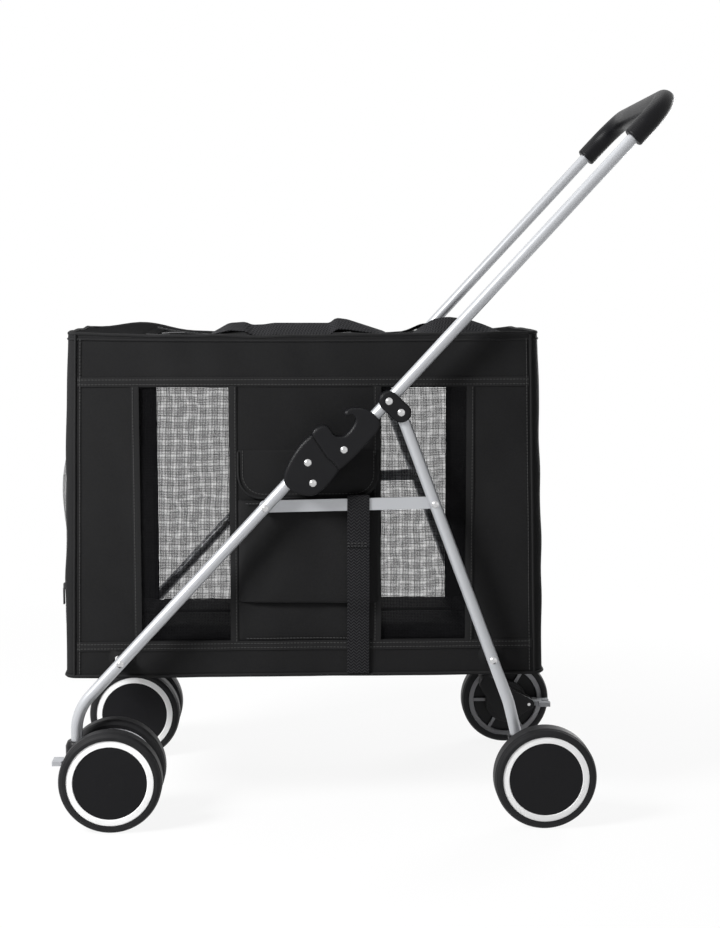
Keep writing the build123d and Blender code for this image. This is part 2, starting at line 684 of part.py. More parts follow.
pocket = pad_plate(pocket_low, pocket_high, pocket_bulge, 9)
lower_panel = pad_plate(win_low, pocket_low - air, 2.5, 1.5)
save("pockets", pocket, lower_panel, other_side(pocket), other_side(lower_panel))
flap = pad_plate(flap_low, flap_high, 5.0, 2.5)
save("pocket_flaps", flap, other_side(flap))
link_mid = (lz0 + lz1) / 2
ring_low = link_mid - link_h / 2 - 5
ring_high = link_mid + link_h / 2 + 5
tail_y = face_y + pocket_bulge + air
ring_far = link_far + 0.6 + strap_t
in_y = face_y + 2.8
points = [
    (in_y, strap_foot), (in_y + strap_t, strap_foot), (in_y + strap_t, pocket_low - 20),
    (tail_y + strap_t, pocket_low + 4), (tail_y + strap_t, ring_low), (ring_far, ring_low), (ring_far, ring_high),
    (tail_y, ring_high), (tail_y, pocket_low + 4.6), (in_y, pocket_low - 19.4),
]
flat = make_face(Plane.YZ * Polyline(*points, close=True))
strap = Pos(strap_x[0], 0, 0) * extrude(flat, strap_x[1] - strap_x[0])
hollow = [(tail_y + strap_t, ring_low + strap_t), (ring_far - strap_t, ring_low + strap_t),
          (ring_far - strap_t, ring_high - strap_t), (tail_y + strap_t, ring_high - strap_t)]
flat = make_face(Plane.YZ * Polyline(*hollow, close=True))
strap -= Pos(strap_x[0] - 1, 0, 0) * extrude(flat, strap_x[1] - strap_x[0] + 2)
save("link_straps", strap, other_side(strap))
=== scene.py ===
import math

import bmesh
import bpy
from mathutils import Matrix, Vector, noise


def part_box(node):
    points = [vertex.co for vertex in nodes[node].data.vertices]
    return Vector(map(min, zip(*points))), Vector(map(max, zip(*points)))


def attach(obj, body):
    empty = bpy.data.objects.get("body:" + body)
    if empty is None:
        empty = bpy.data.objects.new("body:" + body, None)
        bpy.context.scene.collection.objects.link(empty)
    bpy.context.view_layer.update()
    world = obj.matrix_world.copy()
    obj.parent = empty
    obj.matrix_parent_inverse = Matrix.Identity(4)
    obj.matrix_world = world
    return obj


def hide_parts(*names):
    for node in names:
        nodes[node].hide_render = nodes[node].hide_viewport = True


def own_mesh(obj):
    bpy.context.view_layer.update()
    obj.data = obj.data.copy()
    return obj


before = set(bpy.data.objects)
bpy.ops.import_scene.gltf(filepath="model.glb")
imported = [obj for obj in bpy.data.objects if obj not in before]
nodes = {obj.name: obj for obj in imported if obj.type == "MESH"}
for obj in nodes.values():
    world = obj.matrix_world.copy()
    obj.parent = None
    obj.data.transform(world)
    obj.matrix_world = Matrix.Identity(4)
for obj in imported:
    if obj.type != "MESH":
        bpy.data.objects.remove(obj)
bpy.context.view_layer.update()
scene = bpy.context.scene

# Studio of the photograph: a long lens a little above the cabin roof, one large soft light
# from the upper left with weaker ones opposite, above and behind, and a white floor that
# keeps a faint shadow.
scene.view_settings.view_transform = "Standard"
look_down, look_aside = 6.424, -2.442  # degrees
focal_px, frame_px, film_mm = 1608.6, 928, 36
camera = bpy.data.objects.new("camera", bpy.data.cameras.new("camera"))
camera.location = (-0.09636, -2.34096, 0.74147)
camera.rotation_euler = (math.radians(90 - look_down), 0, math.radians(look_aside))
camera.data.sensor_width = film_mm
camera.data.lens = focal_px * film_mm / frame_px
scene.collection.objects.link(camera)
scene.camera = camera

for name, place, width, watts in (
    ("key_light", (-1.7, -1.15, 1.75), 0.7, 86),
    ("fill_light", (1.9, -1.7, 1.2), 1.4, 2),
    ("top_light", (-0.1, 0.5, 2.6), 1.6, 13),
    ("back_light", (1.7, 1.7, 1.0), 1.0, 38),
):
    lamp = bpy.data.lights.new(name, "AREA")
    lamp.size = width
    lamp.energy = watts
    stand = bpy.data.objects.new(name, lamp)
    stand.location = place
    aim = Vector((0, 0, 0.45)) - Vector(place)
    stand.rotation_euler = aim.to_track_quat("-Z", "Y").to_euler()
    scene.collection.objects.link(stand)


class Tone:
    """A value, colour or place in a finish. Sums on it add the maths nodes that they need."""

    def __init__(self, tree, socket):
        self.tree = tree
        self.socket = socket

    def node(self, kind, settings, feeds, out=0):
        made = self.tree.nodes.new("ShaderNode" + kind)
        for key, value in settings.items():
            setattr(made, key, value)
        for key, value in feeds.items():
            if isinstance(value, Tone):
                self.tree.links.new(value.socket, made.inputs[key])
            else:
                made.inputs[key].default_value = value
        return Tone(self.tree, made.outputs[out])

    def maths(self, operation, first, second=0.0):
        return self.node("Math", {"operation": operation}, {0: first, 1: second})

    def __add__(self, other):
        return self.maths("ADD", self, other)

    def __sub__(self, other):
        return self.maths("SUBTRACT", self, other)

    def __mul__(self, other):
        return self.maths("MULTIPLY", self, other)

    def __lt__(self, other):
        return self.maths("LESS_THAN", self, other)

    def __gt__(self, other):
        return self.maths("GREATER_THAN", self, other)

    __radd__ = __add__
    __rmul__ = __mul__

    def along(self, axis):
        return self.node("SeparateXYZ", {}, {0: self}, axis)

    def toward(self, weights):
        """Distance in a direction, which is given as weights of X, Y and Z."""
        runs = [self.along(axis) * weight for axis, weight in enumerate(weights) if weight]
        return sum(runs[1:], runs[0])

    def grain(self, scale, detail=2.0):
        return self.node("TexNoise", {}, {"Vector": self, "Scale": scale, "Detail": detail})

    def ripple(self, length):
        return 0.5 + 0.5 * self.maths("SINE", self * (2 * math.pi / length))

    def part(self, length):
        return self.maths("FRACT", self * (1 / length))

    def mix(self, first, second):
        return self.node("Mix", {"data_type": "RGBA"}, {0: self, 6: first, 7: second}, 2)

    def bump(self, depth, strength=1.0, edge=0.0):
        feeds = {"Strength": strength, "Distance": depth, "Height": self}
        if edge:
            feeds["Normal"] = self.node("Bevel", {"samples": 6}, {"Radius": edge})
        return self.node("Bump", {}, feeds)


def shown(tree):
    """1 on rays that show the white studio itself, and 0 on those that only bring its light."""
    start = Tone(tree, None)
    kinds = ("Is Camera Ray", "Is Glossy Ray", "Is Transmission Ray")
    camera_ray, glossy, through = [start.node("LightPath", {}, {}, kind) for kind in kinds]
    return camera_ray + glossy + through > 0.5


world = bpy.data.worlds.new("studio")
world.use_nodes = True
scene.world = world
backdrop = world.node_tree.nodes["Background"]
backdrop.inputs["Color"].default_value = (1, 1, 1, 1)
ambient = 0.06
strength = ambient + (1 - ambient) * shown(world.node_tree)
world.node_tree.links.new(strength.socket, backdrop.inputs["Strength"])

floor_mesh = bmesh.new()
bmesh.ops.create_grid(floor_mesh, x_segments=1, y_segments=1, size=20)
floor_data = bpy.data.meshes.new("studio_floor")
floor_mesh.to_mesh(floor_data)
floor_mesh.free()
studio_floor = bpy.data.objects.new("studio_floor", floor_data)
scene.collection.objects.link(studio_floor)
paper = bpy.data.materials.new("white_paper")
paper.use_nodes = True
paper_nodes = paper.node_tree.nodes
paper_shader = paper_nodes["Principled BSDF"]
paper_shader.inputs["Base Color"].default_value = (0.9, 0.9, 0.9, 1)
paper_shader.inputs["Roughness"].default_value = 1
matte = Tone(paper.node_tree, paper_shader.outputs[0])
white = matte.node("Emission", {}, {"Color": (1, 1, 1, 1), "Strength": 1})
spot = white.node("TexCoord", {}, {}, "Object")
away = spot.node("VectorMath", {"operation": "LENGTH"}, {0: spot}, "Value")
bare = white.node("MapRange", {}, {"Value": away, "From Min": 0.6, "From Max": 1.6, "To Min": 0.9})
seen = white.node("MixShader", {}, {0: bare * shown(paper.node_tree), 1: matte, 2: white})
paper.node_tree.links.new(seen.socket, paper_nodes["Material Output"].inputs["Surface"])
floor_data.materials.append(paper)


# Frame: round steel tube and flat bar with a satin silver paint, bent cold and drilled for
# its rivets. The paint has a fine metal flake and soft, slightly uneven gloss.
def finish(name, look):
    """A material whose sockets get what the look gives them for a place on the piece."""
    made = bpy.data.materials.new(name)
    made.use_nodes = True
    tree = made.node_tree
    shader = tree.nodes["Principled BSDF"]
    place = tree.nodes.new("ShaderNodeTexCoord").outputs["Object"]
    for key, value in look(Tone(tree, place)).items():
        if isinstance(value, Tone):
            tree.links.new(value.socket, shader.inputs[key])
        else:
            shader.inputs[key].default_value = value
    return made


def dress(made, *names):
    """Puts a finish on solid pieces of the frame."""
    for name in names:
        nodes[name].data.materials.clear()
        nodes[name].data.materials.append(made)


def silver_paint(place):
    flake = place.grain(2200)
    cloud = place.grain(11, 4)
    scuff = place.grain(160, 6) > 0.7
    return {
        "Base Color": cloud.mix((0.41, 0.42, 0.44, 1), (0.48, 0.49, 0.51, 1)),
        "Metallic": 0.4,
        "Roughness": 0.34 + 0.03 * flake + 0.04 * scuff,
        "Normal": flake.bump(0.000002),
    }


SIDES = ("left", "right")
silver = finish("satin_silver", silver_paint)
dress(silver, "handle_tube", "front_cross_tube", "rear_cross_tube")
for side in SIDES:
    dress(silver, "front_leg_" + side, "rear_leg_" + side, "side_link_" + side)


# Rivets and axles: bright nickel-plated steel, domed heads, and plain turned pins.
# The plating is smooth with hairline handling marks.
def bright_nickel(place):
    hair = place.grain(900, 5)
    return {
        "Base Color": hair.mix((0.46, 0.46, 0.46, 1), (0.62, 0.62, 0.63, 1)),
        "Metallic": 1.0,
        "Roughness": 0.14 + 0.16 * hair,
        "Normal": hair.bump(0.00001),
    }


nickel = finish("bright_nickel", bright_nickel)
dress(nickel, "front_rivets", "handle_rivets", "rear_rivets", "rear_axles")
for side in SIDES:
    dress(nickel, "collar_rivet_" + side, "caster_axle_" + side)


# Black moulded nylon: fold locks, rear leg brackets, caster sockets and forks, and brake
# housings. The moulds leave a fine sparked grain, worn a little smoother on raised places.
def black_nylon(place):
    grain = place.grain(1500, 3)
    cloud = place.grain(26, 3)
    return {
        "Base Color": cloud.mix((0.004, 0.004, 0.005, 1), (0.008, 0.008, 0.009, 1)),
        "Specular IOR Level": 0.16,
        "Roughness": 0.24 + 0.12 * cloud + 0.08 * grain,
        "Normal": grain.bump(0.00003, edge=0.006),
    }


nylon = finish("black_nylon", black_nylon)
dress(nylon, "leg_brackets")
for side in SIDES:
    for name in ("lock_lower_", "lock_collar_", "caster_socket_", "caster_fork_", "brake_housing_"):
        dress(nylon, name + side)


# Light grey moulded levers: the swivel locks on the casters and the forked brake pedals.
# Glass-filled plastic, a little chalky where feet rub it.
def grey_nylon(place):
    grain = place.grain(1300, 3)
    rub = place.grain(70, 4)
    return {
        "Base Color": rub.mix((0.34, 0.35, 0.37, 1), (0.47, 0.48, 0.50, 1)),
        "Roughness": 0.42 + 0.2 * grain,
        "Normal": grain.bump(0.00005),
    }


grey = finish("grey_nylon", grey_nylon)
for side in SIDES:
    dress(grey, "swivel_lock_lever_" + side, "brake_lever_" + side)


# Handle grip: one sleeve of black closed-cell foam pushed over the top of the handle tube.
# Its skin is matt, finely pored, and polished a little by hands.
def grip_foam(place):
    pores = place.node("TexVoronoi", {}, {"Vector": place, "Scale": 900.0})
    ribs = place.toward((0.66, 0, 0.75)).ripple(0.0026)
    cloud = place.grain(18, 4)
    return {
        "Base Color": cloud.mix((0.004, 0.004, 0.005, 1), (0.008, 0.008, 0.009, 1)),
        "Specular IOR Level": 0.13,
        "Roughness": 0.34 + 0.16 * cloud,
        "Normal": (0.5 * pores + ribs).bump(0.00016, strength=0.6),
    }


dress(finish("grip_foam", grip_foam), "handle_grip")


# Wheels: black rubber tyres with a moulding line, on white plastic hubs whose outer face
# carries a black cap inside a white ring. The hubs' inner faces are ribbed; their white plastic
# is painted a darker grey there as shade, most on the rear wheels, and their recess near black as shade.
def from_axle(place, axle):
    """Distance from the wheel's axle line."""
    x = place.along(0) - axle.x
    z = place.along(2) - axle.z
    square = x * x + z * z
    return square.maths("SQRT", square)


def tyre_rubber(axle):
    def look(place):
        radius = from_axle(place, axle)
        dust = place.grain(60, 5)
        grain = place.grain(1100, 3)
        rings = radius.ripple(0.0021)
        return {
            "Base Color": dust.mix((0.009, 0.009, 0.010, 1), (0.018, 0.018, 0.019, 1)),
            "Specular IOR Level": 0.14,
            "Roughness": 0.42 + 0.2 * dust,
            "Normal": (0.6 * rings + 0.4 * grain).bump(0.00012),
        }

    return look


cap_r, well_r = 0.0503, 0.0515


def hub_plastic(axle, cap_side, edge, deep):
    def look(place):
        radius = from_axle(place, axle)
        out = (place.along(1) - axle.y) * cap_side
        cap = (radius < cap_r) * (out > 0.0)
        # The recess deep in the inner face is painted near black, as shade.
        recess_shade = (out < 0.0) * (out > deep) * (radius < well_r)
        grain = place.grain(1400, 3)
        # The outer face is white; the inner face takes the edge grey, which is painted shade.
        rim = (out > 0.0).mix(edge, (0.86, 0.86, 0.86, 1))
        shade = recess_shade.mix(rim, (0.012, 0.012, 0.013, 1))
        return {
            "Base Color": cap.mix(shade, (0.005, 0.005, 0.006, 1)),
            "Specular IOR Level": 0.14,
            "Roughness": 0.34 + 0.14 * grain,
            "Normal": grain.bump(0.00004),
        }

    return look


for outer, side in zip((-1, 1), SIDES):
    for kind, place, facing, shade in (
        ("rear", "", outer, 0.42),
        ("caster", "outer_", outer, 0.8),
        ("caster", "inner_", -outer, 0.8),
    ):
        tyre, hub = [f"{kind}_{part}_{place}{side}" for part in ("tyre", "hub")]
        low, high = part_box(tyre)
        axle = (low + high) / 2
        dress(finish(tyre + "_rubber", tyre_rubber(axle)), tyre)
        # The inner faces' grey: the white plastic painted darker as shade, most on the rear wheels.
        edge = (shade, shade, shade * 1.04, 1)
        deep = 0.003 - (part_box(hub)[1].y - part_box(hub)[0].y) / 2
        dress(finish(hub + "_plastic", hub_plastic(axle, facing, edge, deep)), hub)


# Cabin floor: a stiff board in black cloth that lies on both cross tubes, with a loose
# quilted pad on top. The pad is foam in the same cloth, blown up a little by its filling.
# Board and pad are painted darker than the walls' cloth, as shade inside the cabin.
def piece(name, bm, made, body, replaced=()):
    """A new piece that rides on a body, in place of the solid pieces that it replaces."""
    mesh = bpy.data.meshes.new(name)
    bm.normal_update()
    bm.to_mesh(mesh)
    bm.free()
    mesh.shade_smooth()
    mesh.set_sharp_from_angle(angle=math.radians(50))
    mesh.materials.append(made)
    thing = bpy.data.objects.new(name, mesh)
    scene.collection.objects.link(thing)
    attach(thing, body)
    if replaced:
        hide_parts(*replaced)
    return thing


def thicken(thing, thickness, offset=-1.0):
    layer = thing.modifiers.new("cloth_thickness", "SOLIDIFY")
    layer.thickness = thickness
    layer.offset = offset
    thing.modifiers.new("flat_faces", "WEIGHTED_NORMAL")


def woven(across, up, dark, light, yarn=0.0009, shine=0.02):
    """Plain-woven cloth with yarns along two directions."""

    def look(place):
        warp = place.toward(across).ripple(yarn)
        weft = place.toward(up).ripple(yarn)
        cloud = place.grain(5, 5)
        slub = place.grain(420, 4)
        tint = 0.65 * cloud + 0.35 * slub
        return {
            "Base Color": tint.mix(dark + (1,), light + (1,)),
            "Specular IOR Level": shine,
            "Roughness": 0.42 + 0.2 * slub,
            "Normal": (warp * weft + 0.8 * slub).bump(0.00016, strength=0.7),
        }

    return look


cloth_dark, cloth_light = (0.009, 0.009, 0.0095), (0.023, 0.023, 0.0235)
flat_cloth = finish("black_cloth_flat", woven((1, 0, 0), (0, 1, 0), cloth_dark, cloth_light, shine=0.0))
# The pad's tones are the walls' cloth painted darker, as shade inside the cabin.
pad_shade_dark, pad_shade_light = (0.004, 0.004, 0.0045), (0.009, 0.009, 0.0095)
pad_cloth = finish("black_cloth_pad", woven((1, 0, 0), (0, 1, 0), pad_shade_dark, pad_shade_light))
dress(pad_cloth, "floor_board")
pad_low, pad_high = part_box("floor_pad")
pad_size, pad_mid = pad_high - pad_low, (pad_low + pad_high) / 2
pad_room = 0.014
pad = bmesh.new()
bmesh.ops.create_cube(pad, size=1)
bmesh.ops.scale(pad, vec=(pad_size.x - pad_room, pad_size.y - pad_room, pad_size.z * 0.62), verts=pad.verts)
bmesh.ops.translate(pad, vec=(pad_mid.x, 0, pad_low.z + pad_size.z * 0.36), verts=pad.verts)
bmesh.ops.bevel(pad, geom=pad.edges[:], offset=0.005, affect="EDGES", segments=2, profile=0.5, material=-1)
floor_pad = piece("floor_pad_cushion", pad, pad_cloth, "carrier", ["floor_pad"])


def built(thing):
    """The mesh of a thing with all that its modifiers or its line's thickness add."""
    return bpy.data.meshes.new_from_object(thing.evaluated_get(bpy.context.evaluated_depsgraph_get()))


def apply_modifiers(thing):
    shape = built(thing)
    thing.modifiers.clear()
    thing.data = shape


voxels = floor_pad.modifiers.new("voxels", "REMESH")
voxels.mode = "VOXEL"
voxels.voxel_size = 0.006
apply_modifiers(floor_pad)
most_swelling, swelling_steps = 0.006, 20
start = [v.co.copy() for v in floor_pad.data.vertices]
filling = floor_pad.modifiers.new("filling", "CLOTH")
filling.settings.use_pressure = True
filling.settings.uniform_pressure_force = 4
filling.settings.effector_weights.gravity = 0
for step in range(1, swelling_steps + 1):
    scene.frame_set(step)
apply_modifiers(floor_pad)
for vert, was in zip(floor_pad.data.vertices, start):
    moved = vert.co - was
    vert.co = was + moved * min(1.0, most_swelling / max(moved.length, 1e-9))
for vert in floor_pad.data.vertices:
    tuft = max(0.0, math.cos(vert.co.x * 42)) ** 30 + max(0.0, math.cos(vert.co.y * 46)) ** 30
    top = (vert.co.z - pad_low.z) / pad_size.z
    vert.co.z -= 0.004 * min(1.0, tuft) * max(0.0, top)
    vert.co.z = min(max(vert.co.z, pad_low.z), pad_high.z)
floor_pad.data.materials.clear()
floor_pad.data.materials.append(pad_cloth)
floor_pad.data.shade_smooth()


# Cabin walls: one band of coated polyester cloth round all four sides, sewn from a top band, a
# skirt and corner panels, with openings for windows, front door and tubes. It hangs from a
# wired rim and bellies out a little between its seams.
front_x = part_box("front_panel")[0].x
rear_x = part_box("rear_panel")[1].x
half = -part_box("side_panel_left")[0].y
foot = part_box("side_panel_left")[0].z
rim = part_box("side_panel_left")[1].z
tube_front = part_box("front_cross_tube")
tube_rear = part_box("rear_cross_tube")
corner_r, mesh_step, play, net_lap = 0.016, 0.012, 0.0006, 0.006
net_low, net_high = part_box("window_nets")
window_z = (net_low.z + net_lap, net_high.z - net_lap)
pillar_x = (net_low.x + 0.1316, net_high.x - 0.1267)
windows = ((net_low.x + net_lap, pillar_x[0]), (pillar_x[1], net_high.x - net_lap))
door_low, door_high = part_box("front_door")
door_y = door_high.y + play
door_far = door_y - 0.021  # its hinge side keeps clear of the wall that stands out past the hinge
door_z = (door_low.z - play, door_high.z + play)
X, Y, Z = Vector((1, 0, 0)), Vector((0, 1, 0)), Vector((0, 0, 1))


def slack(co):
    """How far the loose cloth stands off its flat pattern at a place."""
    wide = noise.noise(co * 5.5 + Vector((4, 2, 9)))
    fine = noise.noise(Vector((co.x * 21 + co.z * 9, co.y * 18, co.z * 13 - co.x * 6)))
    return 0.0023 * wide + 0.0019 * fine


def swell(co, normal):
    """Slack, and the belly of the cloth between its seams."""
    u = (co.x - front_x) / (rear_x - front_x)
    v = (co.z - foot) / (rim - foot)
    arch = max(0.0, math.sin(math.pi * min(max(v, 0), 1)))
    belly = 0.0016 * abs(normal.y) * max(0.0, math.sin(math.pi * min(max(u, 0), 1))) * arch
    belly += 0.0055 * abs(normal.x) * max(0.0, math.cos(co.y / half * math.pi / 2)) * arch
    return slack(co) + belly


def lean(x, z):
    """The end walls stand out at their foot and lean in towards the rim, within their corner panels."""
    panel_w = 0.09
    share = (z - foot) / (rim - foot)
    near_front = max(0.0, 1 - (x - front_x) / panel_w)
    near_rear = max(0.0, 1 - (rear_x - x) / panel_w)
    return near_front * (0.0125 * share - 0.0085) + near_rear * (0.0040 - 0.0130 * share)


def rim_sag(x, y):
    """How far the soft rim has sunk between its corners. The far side rides up near the front."""
    along = min(max((x - front_x) / (rear_x - front_x), 0.0), 1.0)
    far = 0.5 + 0.5 * y / half
    ride_up = 0.013 * far * math.exp(-(((along - 0.13) / 0.08) ** 2))
    return math.sqrt(max(0.0, math.sin(math.pi * along))) * (0.004 + 0.007 * far) - ride_up


def sunk(co):
    """Lets a place near the rim down with it."""
    reach = 0.05
    return co - Z * (rim_sag(co.x, co.y) * max(0.0, (co.z - rim + reach) / reach))


def skin(x, z, hand, lift=0.0):
    """A place on the outside of a side wall, lifted off it by that much."""
    out = half + swell(Vector((x, hand * half, z)), Y) + lift
    return sunk(Vector((x + lean(x, z), hand * out, z)))


def steps(marks, most):
    """Places from mark to mark, evenly spaced and no further apart than that."""
    places = []
    for a, b in zip(marks, marks[1:]):
        count = max(1, math.ceil((b - a) / most))
        places += [a + (b - a) * k / count for k in range(count)]
    return places + [marks[-1]]


def cut(bm, axis, places):
    """Cuts edges across a shape at places along an axis."""
    for place in places:
        everything = bm.verts[:] + bm.edges[:] + bm.faces[:]
        bmesh.ops.bisect_plane(bm, geom=everything, dist=1e-5, plane_co=axis * place, plane_no=axis)


walls = bmesh.new()
bmesh.ops.create_cube(walls, size=1)
bmesh.ops.scale(walls, vec=(rear_x - front_x, 2 * half, rim - foot), verts=walls.verts)
bmesh.ops.translate(walls, vec=((rear_x + front_x) / 2, 0, (rim + foot) / 2), verts=walls.verts)
uprights = [e for e in walls.edges if abs(e.verts[0].co.z - e.verts[1].co.z) > 0.1]
bmesh.ops.bevel(walls, geom=uprights, offset=corner_r, affect="EDGES", segments=5, profile=0.5, material=-1)
bmesh.ops.delete(walls, geom=[f for f in walls.faces if abs(f.normal.z) > 0.9], context="FACES")
tubes_x = [(low.x - play, high.x + play) for low, high in (tube_front, tube_rear)]
tubes_z = (tube_front[0].z - play, tube_front[1].z + play)
past_corner, fine_step = 0.02, 0.011
marks_x = [front_x + past_corner, rear_x - past_corner, *windows[0], *windows[1], *tubes_x[0], *tubes_x[1]]
cut(walls, X, steps(sorted(marks_x), fine_step))
cut(walls, Y, steps([past_corner - half, -door_y, door_far, half - past_corner], mesh_step))
cut(walls, Z, steps(sorted([foot, rim, *window_z, *door_z, *tubes_z]), fine_step)[1:-1])


def inside(value, span):
    return span[0] < value < span[1]


openings = []
for face in walls.faces:
    mid = face.calc_center_median()
    on_side, on_front = abs(mid.y) > half - 0.001, mid.x < front_x + 0.001
    window = inside(mid.z, window_z) and any(inside(mid.x, span) for span in windows)
    tube_hole = inside(mid.z, tubes_z) and any(inside(mid.x, span) for span in tubes_x)
    doorway = inside(mid.z, door_z) and inside(mid.y, (-door_y, door_far))
    if (on_side and (window or tube_hole)) or (on_front and doorway):
        openings.append(face)
bmesh.ops.delete(walls, geom=openings, context="FACES")
walls.normal_update()
shift = [(v, v.normal.copy(), v.co.copy()) for v in walls.verts]
for vert, normal, co in shift:
    flat = Y * (1 if co.y > 0 else -1) if abs(co.y) > half - 1e-4 else normal
    vert.co = sunk(co + flat * swell(co, flat) + X * lean(co.x, co.z))
upright_cloth = finish("black_cloth_walls", woven((1, 1, 0), (0, 0, 1), cloth_dark, cloth_light))
wall_nodes = ["side_panel_left", "side_panel_right", "front_panel", "rear_panel"]
cabin_walls = piece("cabin_walls", walls, upright_cloth, "carrier", wall_nodes)
thicken(cabin_walls, 0.0017)


def crumple(*things):
    """Gives each piece of cloth a mesh of its own."""
    for thing in things:
        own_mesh(thing)


crumple(cabin_walls)


# Tube cuffs: rings of doubled cloth sewn round the holes where the cross tubes go through the
# skirt, each with a short sleeve along the tube, so that no gap shows round it.
cuffs = bmesh.new()
for hand in (-1, 1):
    for low, high in (tube_front, tube_rear):
        before = set(cuffs.verts)
        hole, hole_r = (low + high) / 2, (high.x - low.x) / 2 + 0.0012
        shape = ((hole_r, -0.018), (hole_r, -0.009), (hole_r, 0.0), (hole_r + 0.008, 0.0))
        spots = [cuffs.verts.new((hole.x + r, y, hole.z)) for r, y in shape]
        start = [cuffs.edges.new(pair) for pair in zip(spots, spots[1:])]
        turn = {"cent": (hole.x, 0, hole.z), "axis": (0, -1, 0), "angle": 2 * math.pi}
        bmesh.ops.spin(cuffs, geom=[*start, *spots], steps=24, use_merge=True, **turn)
        for vert in set(cuffs.verts) - before:
            vert.co = skin(vert.co.x, vert.co.z, hand, 0.0006 - vert.co.y)
bmesh.ops.recalc_face_normals(cuffs, faces=cuffs.faces)
tube_cuffs = piece("tube_cuffs", cuffs, upright_cloth, "carrier")
thicken(tube_cuffs, 0.0011, 0.0)


# Piping: cord in a bias strip, sewn into the four upright seams and round the wall's foot.
# It stands proud of the cloth and catches the light as a thin line, and its cloth is painted lighter as
# highlight.
def piping(name, lines, radius):
    """Round cord along lines of places, each of them closed or open."""
    line = bpy.data.curves.new(name, "CURVE")
    line.dimensions = "3D"
    line.bevel_depth = radius
    line.bevel_resolution = 2
    for points, closed in lines:
        spline = line.splines.new("POLY")
        spline.points.add(len(points) - 1)
        for point, co in zip(spline.points, points):
            point.co = (*co, 1)
        spline.use_cyclic_u = closed
    drawn = bpy.data.objects.new(name + "_line", line)
    scene.collection.objects.link(drawn)
    shape = built(drawn)
    bpy.data.objects.remove(drawn)
    bm = bmesh.new()
    bm.from_mesh(shape)
    return piece(name, bm, bound_cloth, "carrier")


def round_corner(end, side, z, normal, lift):
    """A place on a rounded corner of the wall, which faces along the normal there."""
    co = Vector((end, side * (half - corner_r), z)) + normal * corner_r
    return sunk(co + normal * (swell(co, normal) + lift) + X * lean(co.x, z))


def around(z, lift):
    """The wall's outline at a height, as places on the cloth."""
    points = []
    bends = [math.pi / 2 * k / 6 for k in range(1, 6)]
    for hand, begin, stop, turn in ((-1, front_x, rear_x, 1), (1, rear_x, front_x, -1)):
        start, end = begin + turn * corner_r, stop - turn * corner_r
        points += [skin(x, z, hand, lift) for x in steps(sorted((start, end)), mesh_step)[::turn]]
        for bend in bends:
            normal = Vector((turn * math.sin(bend), hand * math.cos(bend), 0))
            points.append(round_corner(end, hand, z, normal, lift))
        for y in steps([corner_r - half, half - corner_r], mesh_step)[:: -hand]:
            co = Vector((stop, y, z))
            points.append(sunk(co + X * (turn * (swell(co, X) + lift) + lean(stop, z))))
        for bend in bends:
            normal = Vector((turn * math.cos(bend), -hand * math.sin(bend), 0))
            points.append(round_corner(end, -hand, z, normal, lift))
    return points


seam_in = 0.013
seam_lines = []
for hand in (-1, 1):
    for x in (front_x + seam_in, rear_x - seam_in):
        heights = steps([foot + 0.004, rim - 0.001], mesh_step)
        seam_lines.append(([skin(x, z, hand, 0.0003) for z in heights], False))
seam_lines.append((around(rim - 0.0075, -0.0004), True))
# The binding's tones are painted a little lighter than the walls' cloth, as highlight on its raised edges.
bound_dark_highlit, bound_light_highlit = (0.013, 0.013, 0.0135), (0.027, 0.027, 0.0275)
bound_cloth = finish("black_binding", woven((1, 1, 1), (1, -1, 0), bound_dark_highlit, bound_light_highlit, yarn=0.0012))
corner_piping = piping("corner_piping", seam_lines, 0.0018)
foot_piping = piping("foot_piping", [(around(foot + 0.003, 0.0004), True)], 0.0022)
crumple(corner_piping, foot_piping)


# Rows of lock stitching in heavy black thread, along the top band, the skirt and the windows.
# Each stitch is a short raised pill of thread.
def stitch(bm, points, normals, pitch=0.0046, length=0.0031, thick=0.0009):
    """A row of raised stitches along the points."""
    travelled, due = 0.0, 0.0
    for (a, b), normal in zip(zip(points, points[1:]), normals):
        run = b - a
        while due <= travelled + run.length and run.length > 1e-9:
            co = a + run * ((due - travelled) / run.length)
            ahead = run.normalized()
            side = normal.cross(ahead).normalized()
            turn = Matrix((ahead * length, side * thick, normal * thick * 0.8)).transposed().to_4x4()
            bmesh.ops.create_cube(bm, size=1, matrix=Matrix.Translation(co) @ turn)
            due += pitch
        travelled += run.length


def between(start, end, count):
    """Even steps from one flat place to another."""
    return [[a + (b - a) * k / count for a, b in zip(start, end)] for k in range(count + 1)]


# The black thread's tones are painted lighter, as highlight on the raised stitches.
thread_dark_highlit, thread_light_highlit = (0.045, 0.045, 0.045), (0.08, 0.08, 0.08)
thread = finish("black_thread", woven((1, 1, 0), (0, 0, 1), thread_dark_highlit, thread_light_highlit, yarn=0.0007))
sewing = bmesh.new()
for hand in (-1, 1):
    rows = []
    for z in (window_z[1] + 0.004, window_z[1] + 0.0105, window_z[0] - 0.0045, window_z[0] - 0.0105):
        rows.append(((front_x + 0.018, z), (rear_x - 0.018, z)))
    for left, right in windows:
        rows.append(((left - 0.0065, window_z[0]), (left - 0.0065, window_z[1])))
        rows.append(((right + 0.0065, window_z[0]), (right + 0.0065, window_z[1])))
    for x in (front_x + 0.0195, rear_x - 0.0195):
        rows.append(((x, foot + 0.008), (x, rim - 0.006)))
    for start, end in rows:
        count = max(2, int(math.dist(start, end) / mesh_step))
        places = [skin(x, z, hand, 0.0012) for x, z in between(start, end, count)]
        stitch(sewing, places, [Y * hand] * len(places))
cabin_stitching = piece("cabin_stitching", sewing, thread, "carrier")
crumple(cabin_stitching)


